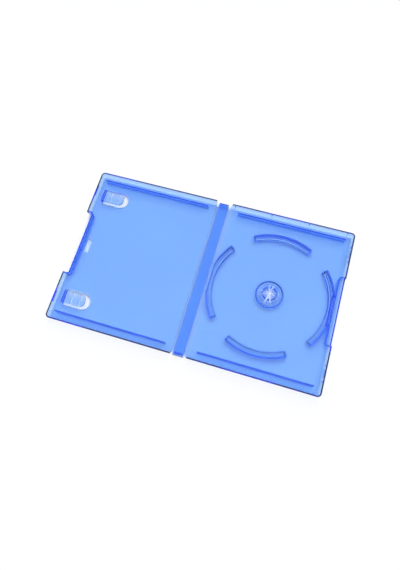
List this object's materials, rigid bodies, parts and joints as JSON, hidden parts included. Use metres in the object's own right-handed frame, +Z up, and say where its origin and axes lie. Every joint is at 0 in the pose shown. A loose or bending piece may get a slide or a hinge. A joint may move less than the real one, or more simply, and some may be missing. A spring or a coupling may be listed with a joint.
{
  "type": "game disc case",
  "caption": "Translucent blue plastic disc case that opens flat like a book: a tray with a sprung hub faces a front cover with booklet clips.",
  "frame": {"origin": "under the middle of the spine, at the level of the outer faces", "axes": "+X from the front cover to the disc tray, +Y along the spine, +Z up into the open case"},
  "size_m": [0.2818, 0.1714, 0.0081],
  "materials": {
    "blue_plastic": "translucent"
  },
  "bodies": {
    "tray": {"disc_tray": "blue_plastic"},
    "spine": {"spine": "blue_plastic", "front_hinge_web": "blue_plastic", "back_hinge_web": "blue_plastic"},
    "cover": {"front_cover": "blue_plastic"},
    "finger_1": {"hub_finger_1": "blue_plastic"},
    "finger_2": {"hub_finger_2": "blue_plastic"},
    "finger_3": {"hub_finger_3": "blue_plastic"},
    "finger_4": {"hub_finger_4": "blue_plastic"},
    "finger_5": {"hub_finger_5": "blue_plastic"},
    "finger_6": {"hub_finger_6": "blue_plastic"},
    "finger_7": {"hub_finger_7": "blue_plastic"},
    "finger_8": {"hub_finger_8": "blue_plastic"}
  },
  "joints": [
    {"name": "back_hinge", "type": "hinge", "parent": "tray", "child": "spine", "pos_m": [0.0064, 0, 0.00038], "axis": [0, 1, 0], "range_deg": [0, 90], "deforming": ["back_hinge_web"]},
    {"name": "front_hinge", "type": "hinge", "parent": "spine", "child": "cover", "pos_m": [-0.0064, 0, 0.00038], "axis": [0, 1, 0], "range_deg": [0, 90], "deforming": ["front_hinge_web"]},
    {"name": "hub_finger_1_flex", "type": "hinge", "parent": "tray", "child": "finger_1", "pos_m": [0.08045, 0, 0.0031], "axis": [0, -1, 0], "range_deg": [0, 6], "stiffness_Nm_per_rad": 0.08},
    {"name": "hub_finger_2_flex", "type": "hinge", "parent": "tray", "child": "finger_2", "pos_m": [0.07771, 0.00661, 0.0031], "axis": [0.7071, -0.7071, 0], "range_deg": [0, 6], "stiffness_Nm_per_rad": 0.08},
    {"name": "hub_finger_3_flex", "type": "hinge", "parent": "tray", "child": "finger_3", "pos_m": [0.0711, 0.00935, 0.0031], "axis": [1, 0, 0], "range_deg": [0, 6], "stiffness_Nm_per_rad": 0.08},
    {"name": "hub_finger_4_flex", "type": "hinge", "parent": "tray", "child": "finger_4", "pos_m": [0.06449, 0.00661, 0.0031], "axis": [0.7071, 0.7071, 0], "range_deg": [0, 6], "stiffness_Nm_per_rad": 0.08},
    {"name": "hub_finger_5_flex", "type": "hinge", "parent": "tray", "child": "finger_5", "pos_m": [0.06175, 0, 0.0031], "axis": [0, 1, 0], "range_deg": [0, 6], "stiffness_Nm_per_rad": 0.08},
    {"name": "hub_finger_6_flex", "type": "hinge", "parent": "tray", "child": "finger_6", "pos_m": [0.06449, -0.00661, 0.0031], "axis": [-0.7071, 0.7071, 0], "range_deg": [0, 6], "stiffness_Nm_per_rad": 0.08},
    {"name": "hub_finger_7_flex", "type": "hinge", "parent": "tray", "child": "finger_7", "pos_m": [0.0711, -0.00935, 0.0031], "axis": [-1, 0, 0], "range_deg": [0, 6], "stiffness_Nm_per_rad": 0.08},
    {"name": "hub_finger_8_flex", "type": "hinge", "parent": "tray", "child": "finger_8", "pos_m": [0.07771, -0.00661, 0.0031], "axis": [-0.7071, -0.7071, 0], "range_deg": [0, 6], "stiffness_Nm_per_rad": 0.08}
  ],
  "couplings": [
    {"joint": "hub_finger_2_flex", "follows": "hub_finger_1_flex", "ratio": 1},
    {"joint": "hub_finger_3_flex", "follows": "hub_finger_1_flex", "ratio": 1},
    {"joint": "hub_finger_4_flex", "follows": "hub_finger_1_flex", "ratio": 1},
    {"joint": "hub_finger_5_flex", "follows": "hub_finger_1_flex", "ratio": 1},
    {"joint": "hub_finger_6_flex", "follows": "hub_finger_1_flex", "ratio": 1},
    {"joint": "hub_finger_7_flex", "follows": "hub_finger_1_flex", "ratio": 1},
    {"joint": "hub_finger_8_flex", "follows": "hub_finger_1_flex", "ratio": 1}
  ]
}
